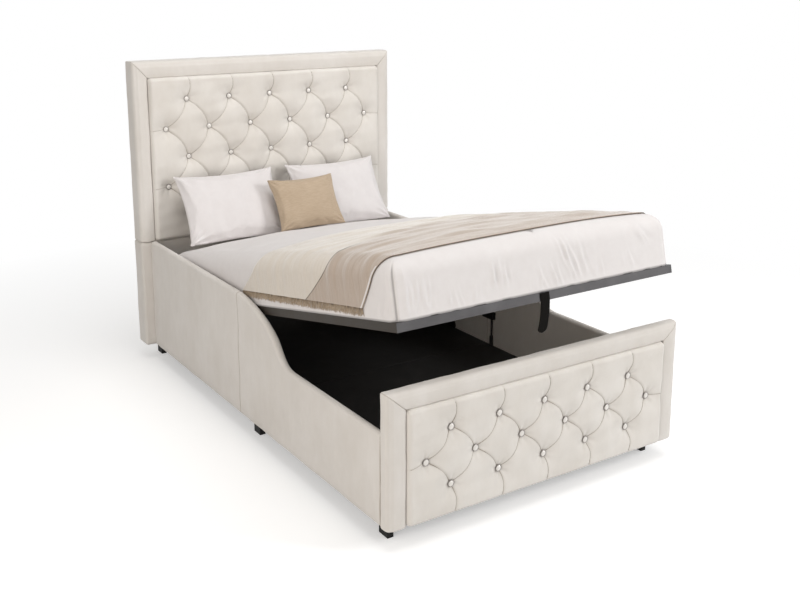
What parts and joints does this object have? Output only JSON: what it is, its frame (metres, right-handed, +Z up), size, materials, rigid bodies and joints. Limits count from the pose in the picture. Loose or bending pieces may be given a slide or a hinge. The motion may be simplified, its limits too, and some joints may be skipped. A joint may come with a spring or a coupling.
{
  "type": "ottoman bed",
  "caption": "Upholstered bed frame with button-tufted headboard and footboard and a foot-lifting mattress platform over storage, dressed with mattress, pillows and throw.",
  "frame": {"origin": "on the floor at the middle of the bed's outer box", "axes": "+Z up, +Y from the footboard to the headboard, +X to the right seen from the foot"},
  "size_m": [1.365, 2.168, 1.41],
  "materials": {
    "velvet": "matte",
    "tufted_velvet": "matte",
    "black_plastic": "matte",
    "storage_board": "matte",
    "chrome_rod": "polished",
    "grey_steel": "satin",
    "slat_wood": "satin",
    "webbing": "matte",
    "mattress_cotton": "matte",
    "pillow_cotton": "matte",
    "cushion_linen": "matte",
    "throw_knit": "matte",
    "black_steel": "satin"
  },
  "bodies": {
    "bed_base": {"headboard_frame": "velvet", "headboard_tufted_panel": "tufted_velvet", "headboard_lower": "velvet", "footboard_frame": "velvet", "footboard_tufted_panel": "tufted_velvet", "side_rail_head_left": "velvet", "side_rail_head_right": "velvet", "side_rail_foot_left": "velvet", "side_rail_foot_right": "velvet", "foot_front_left": "black_plastic", "foot_front_right": "black_plastic", "foot_middle_left": "black_plastic", "foot_middle_right": "black_plastic", "foot_rear_left": "black_plastic", "foot_rear_right": "black_plastic", "floor_ledger_left": "black_steel", "floor_ledger_right": "black_steel", "corner_angle_front_left": "black_steel", "corner_angle_front_right": "black_steel", "rail_joint_bracket_left": "black_plastic", "rail_joint_bracket_right": "black_plastic", "rail_joint_post_left": "black_steel", "rail_joint_post_right": "black_steel", "lift_base_plate_left": "black_steel", "lift_base_plate_right": "black_steel", "floor_cross_beam": "black_steel", "floor_board_foot": "storage_board", "floor_board_head": "storage_board"},
    "rear_arms": {"lift_rear_arm_left": "black_steel", "lift_rear_arm_right": "black_steel"},
    "front_arms": {"lift_front_arm_left": "black_steel", "lift_front_arm_right": "black_steel"},
    "strut_cylinders": {"gas_strut_cylinder_left": "black_steel", "gas_strut_cylinder_right": "black_steel"},
    "strut_rods": {"gas_strut_rod_left": "chrome_rod", "gas_strut_rod_right": "chrome_rod"},
    "platform": {"platform_tube_left": "grey_steel", "platform_tube_right": "grey_steel", "platform_tube_front": "grey_steel", "platform_tube_rear": "grey_steel", "platform_tube_centre": "grey_steel", "platform_bracket_left": "black_steel", "platform_bracket_right": "black_steel", "lift_strap": "webbing", "slat_01": "slat_wood", "slat_02": "slat_wood", "slat_03": "slat_wood", "slat_04": "slat_wood", "slat_05": "slat_wood", "slat_06": "slat_wood", "slat_07": "slat_wood", "slat_08": "slat_wood", "slat_09": "slat_wood", "slat_10": "slat_wood", "slat_11": "slat_wood", "mattress": "mattress_cotton", "bed_throw": "throw_knit", "pillow_left": "pillow_cotton", "pillow_right": "pillow_cotton", "scatter_cushion": "cushion_linen"}
  },
  "joints": [
    {"name": "platform_lift", "type": "hinge", "parent": "bed_base", "child": "rear_arms", "pos_m": [0, 0.3801, 0.1386], "axis": [1, 0, 0], "range_deg": [-33.6, 43.7]},
    {"name": "platform_tilt", "type": "hinge", "parent": "rear_arms", "child": "platform", "pos_m": [0, 0.43269, 0.38505], "axis": [1, 0, 0], "range_deg": [-59.65, 45.9], "deforming": ["lift_strap"]},
    {"name": "front_arm_swing", "type": "hinge", "parent": "bed_base", "child": "front_arms", "pos_m": [0, 0.30624, 0.15813], "axis": [1, 0, 0], "range_deg": [-33.9, 44.04]},
    {"name": "strut_cylinder_swing", "type": "hinge", "parent": "bed_base", "child": "strut_cylinders", "pos_m": [0, 0.47506, 0.13813], "axis": [1, 0, 0], "range_deg": [-17.02, 22.09]},
    {"name": "strut_rod_swing", "type": "hinge", "parent": "front_arms", "child": "strut_rods", "pos_m": [0, 0.27909, 0.32594], "axis": [1, 0, 0], "range_deg": [-22.09, 17.02]}
  ],
  "couplings": [
    {"joint": "platform_tilt", "follows": "platform_lift", "ratio": -1.3615},
    {"joint": "front_arm_swing", "follows": "platform_lift", "ratio": 1.0043},
    {"joint": "strut_cylinder_swing", "follows": "platform_lift", "ratio": 0.50215},
    {"joint": "strut_rod_swing", "follows": "platform_lift", "ratio": -0.50215}
  ]
}
